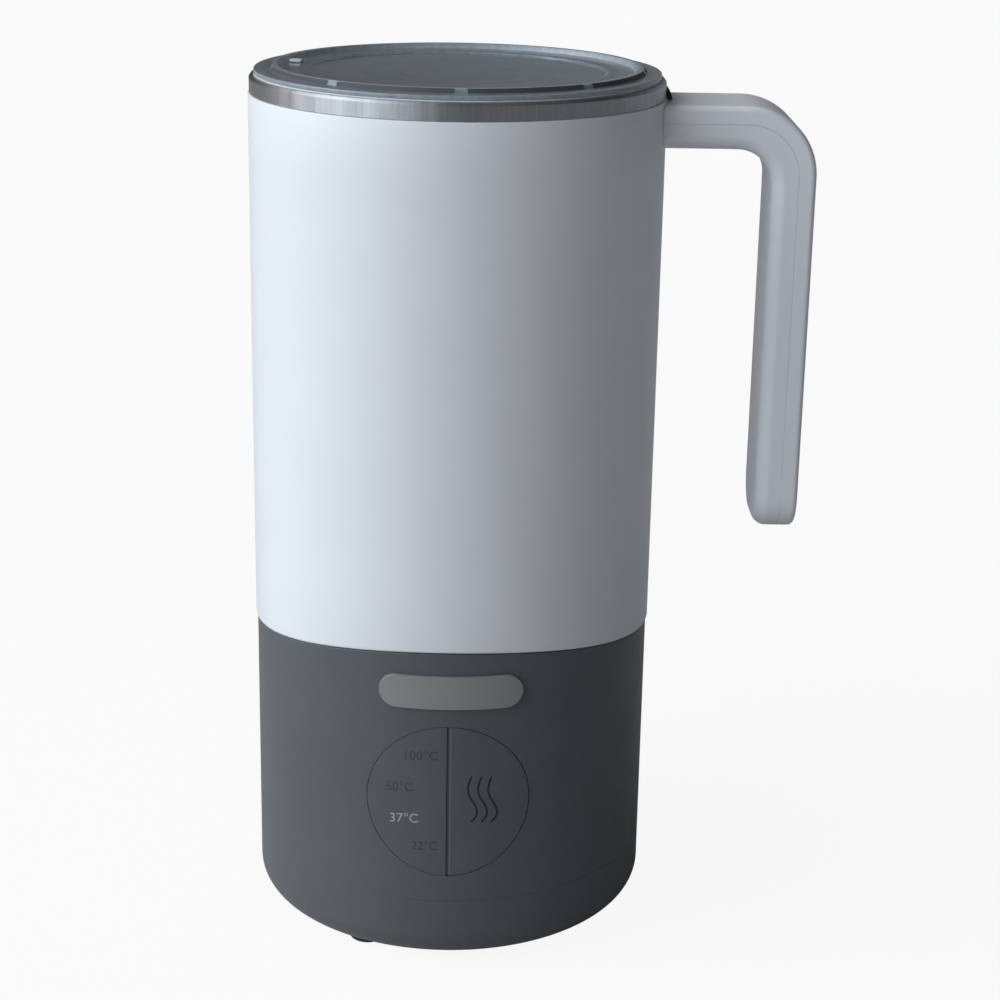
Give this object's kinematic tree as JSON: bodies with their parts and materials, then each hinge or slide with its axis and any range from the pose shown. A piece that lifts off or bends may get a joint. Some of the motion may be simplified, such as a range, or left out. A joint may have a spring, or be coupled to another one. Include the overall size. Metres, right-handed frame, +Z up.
{
  "type": "baby milk preparer",
  "caption": "Cordless heating and mixing jug for baby milk, with a handle, a clear lid, half-round panel buttons and a flush power base.",
  "frame": {"origin": "on the table, under the middle of the overall box, handle included; the jug's own axis is 18.6 mm towards -X", "axes": "+Z up; the control panel faces -Y; the handle points to +X"},
  "size_m": [0.1422, 0.1056, 0.2245],
  "materials": {
    "white_plastic": "satin",
    "dark_plastic": "fine matt",
    "black_plastic": "matt",
    "badge_plastic": "satin",
    "clear_plastic": "clear, slightly smoky",
    "rubber": "matt",
    "silicone": "matt",
    "stainless": "brushed around",
    "aluminium": "cast",
    "brass": "plain",
    "circuit_board": "lacquered",
    "led": "plain"
  },
  "bodies": {
    "power_base": {"power_base_tray": "dark_plastic", "power_base_deck": "dark_plastic", "base_connector": "black_plastic", "base_contact": "brass", "cord_bush": "black_plastic", "foot_1": "rubber", "foot_2": "rubber", "foot_3": "rubber", "base_screw_1": "stainless", "base_screw_2": "stainless", "base_screw_3": "stainless"},
    "jug": {"jug_floor": "dark_plastic", "floor_screw_1": "stainless", "floor_screw_2": "stainless", "floor_screw_3": "stainless", "jug_connector": "black_plastic", "contact_pin": "brass", "contact_ring": "brass", "base_housing": "dark_plastic", "badge": "badge_plastic", "button_frame": "dark_plastic", "control_board": "circuit_board", "temperature_switch": "black_plastic", "start_switch": "black_plastic", "led_strip": "led", "light_guide": "clear_plastic", "power_board": "circuit_board", "transformer": "black_plastic", "power_relay": "black_plastic", "heating_plate": "aluminium", "temperature_sensor": "stainless", "thermal_cutout": "black_plastic", "heating_element": "stainless", "heater_lead_left": "rubber", "heater_lead_right": "rubber", "pot_support": "black_plastic", "motor_bracket": "stainless", "motor_can": "stainless", "whisk_spindle": "stainless", "outer_shell": "white_plastic", "inner_pot": "stainless", "pot_gasket": "silicone", "rim_band": "stainless", "handle_outer": "white_plastic", "handle_inner": "white_plastic", "handle_bracket": "stainless", "handle_screw_1": "stainless", "handle_screw_2": "stainless", "rim_key": "black_plastic"},
    "lid": {"lid_disc": "clear_plastic", "lid_gasket": "silicone"},
    "temperature_button": {"temperature_button": "dark_plastic"},
    "start_button": {"start_button": "dark_plastic"},
    "rotor": {"motor_shaft": "stainless", "drive_rotor": "black_plastic", "drive_magnet_1": "aluminium", "drive_magnet_2": "aluminium"},
    "whisk": {"whisk_disc": "dark_plastic", "whisk_magnet_1": "aluminium", "whisk_magnet_2": "aluminium"}
  },
  "joints": [
    {"name": "jug_lift", "type": "slide", "parent": "power_base", "child": "jug", "axis": [0, 0, 1], "range_m": [0, 0.045]},
    {"name": "lid_lift", "type": "slide", "parent": "jug", "child": "lid", "axis": [0, 0, 1], "range_m": [0, 0.04]},
    {"name": "temperature_press", "type": "slide", "parent": "jug", "child": "temperature_button", "axis": [0, 1, 0], "range_m": [0, 0.0008], "stiffness_N_per_m": 2000, "springref_m": -0.0002},
    {"name": "start_press", "type": "slide", "parent": "jug", "child": "start_button", "axis": [0, 1, 0], "range_m": [0, 0.0008], "stiffness_N_per_m": 2000, "springref_m": -0.0002},
    {"name": "rotor_spin", "type": "hinge", "parent": "jug", "child": "rotor", "pos_m": [-0.0186, 0, 0.08], "axis": [0, 0, 1], "continuous": true},
    {"name": "whisk_spin", "type": "hinge", "parent": "jug", "child": "whisk", "pos_m": [-0.0186, 0, 0.09], "axis": [0, 0, 1], "continuous": true}
  ],
  "couplings": [
    {"joint": "whisk_spin", "follows": "rotor_spin", "ratio": 1}
  ]
}
